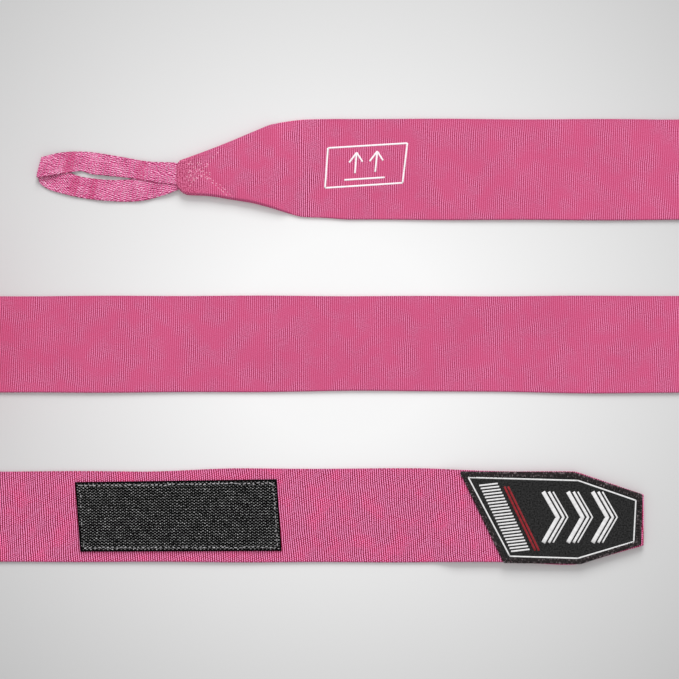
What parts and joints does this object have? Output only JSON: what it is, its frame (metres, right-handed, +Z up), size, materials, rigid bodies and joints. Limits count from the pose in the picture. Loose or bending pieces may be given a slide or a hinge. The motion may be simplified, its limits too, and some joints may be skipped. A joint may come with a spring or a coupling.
{
  "type": "hand wrap",
  "caption": "Elastic hand wrap laid out in rows, with a roll of spare strap, a tapered end with a thumb loop, and a hook-and-loop closure tab.",
  "frame": {"origin": "middle of the layout's box, on the table that the strap lies on", "axes": "+X along the rows towards the closure tab's end, +Y from the closure row to the thumb loop row, +Z up"},
  "size_m": [0.572, 0.2316, 0.0696],
  "materials": {
    "elastic_weave": "ribbed elastic weave, deep pink",
    "loop_tape": "soft knitted tape, pink",
    "loop_pile": "black loop pile",
    "hook_pile": "black nylon hooks",
    "woven_label": "black woven label with white and red lines"
  },
  "bodies": {
    "root": {"strap_row_thumb": "elastic_weave", "strap_turn_right": "elastic_weave", "strap_middle": "elastic_weave", "strap_drape": "elastic_weave", "strap_tail": "elastic_weave", "strap_turn_left": "elastic_weave", "strap_row_closure": "elastic_weave", "loop_patch": "loop_pile"},
    "loop_end_1": {"strap_loop_end_1": "elastic_weave"},
    "loop_end_2": {"strap_loop_end_2": "elastic_weave"},
    "loop_end_3": {"strap_loop_end_3": "elastic_weave"},
    "taper": {"tapered_end": "elastic_weave", "loop_tape_tail": "loop_tape"},
    "loop": {"thumb_loop": "loop_tape"},
    "closure_1": {"strap_closure_end_1": "elastic_weave"},
    "closure_2": {"strap_closure_end_2": "elastic_weave"},
    "closure_3": {"strap_closure_end_3": "elastic_weave"},
    "tab": {"strap_tab": "elastic_weave", "hook_tape": "hook_pile", "end_label": "woven_label"}
  },
  "joints": [
    {"name": "loop_end_curl", "type": "hinge", "parent": "root", "child": "loop_end_1", "pos_m": [0.1417, 0.08875, 0.001], "axis": [0, 1, 0], "range_deg": [0, 35]},
    {"name": "loop_end_curl_2", "type": "hinge", "parent": "loop_end_1", "child": "loop_end_2", "pos_m": [0.1157, 0.08875, 0.001], "axis": [0, 1, 0], "range_deg": [0, 35]},
    {"name": "loop_end_curl_3", "type": "hinge", "parent": "loop_end_2", "child": "loop_end_3", "pos_m": [0.0898, 0.08875, 0.001], "axis": [0, 1, 0], "range_deg": [0, 35]},
    {"name": "loop_end_curl_4", "type": "hinge", "parent": "loop_end_3", "child": "taper", "pos_m": [0.0348, 0.08875, 0.001], "axis": [0, 1, 0], "range_deg": [0, 35]},
    {"name": "thumb_loop_swing", "type": "hinge", "parent": "taper", "child": "loop", "pos_m": [-0.0358, 0.0855, 0.0032], "axis": [0, 1, 0], "range_deg": [0, 150]},
    {"name": "closure_curl", "type": "hinge", "parent": "root", "child": "closure_1", "pos_m": [0.0337, -0.09095, 0.001], "axis": [0, -1, 0], "range_deg": [0, 40]},
    {"name": "closure_curl_2", "type": "hinge", "parent": "closure_1", "child": "closure_2", "pos_m": [0.0545, -0.09095, 0.001], "axis": [0, -1, 0], "range_deg": [0, 40]},
    {"name": "closure_curl_3", "type": "hinge", "parent": "closure_2", "child": "closure_3", "pos_m": [0.0752, -0.09095, 0.001], "axis": [0, -1, 0], "range_deg": [0, 40]},
    {"name": "tab_fold", "type": "hinge", "parent": "closure_3", "child": "tab", "pos_m": [0.096, -0.09095, 0.001], "axis": [0, -1, 0], "range_deg": [0, 60]}
  ],
  "couplings": [
    {"joint": "loop_end_curl_2", "follows": "loop_end_curl", "ratio": 1},
    {"joint": "loop_end_curl_3", "follows": "loop_end_curl", "ratio": 1},
    {"joint": "loop_end_curl_4", "follows": "loop_end_curl", "ratio": 1},
    {"joint": "closure_curl_2", "follows": "closure_curl", "ratio": 1},
    {"joint": "closure_curl_3", "follows": "closure_curl", "ratio": 1}
  ]
}
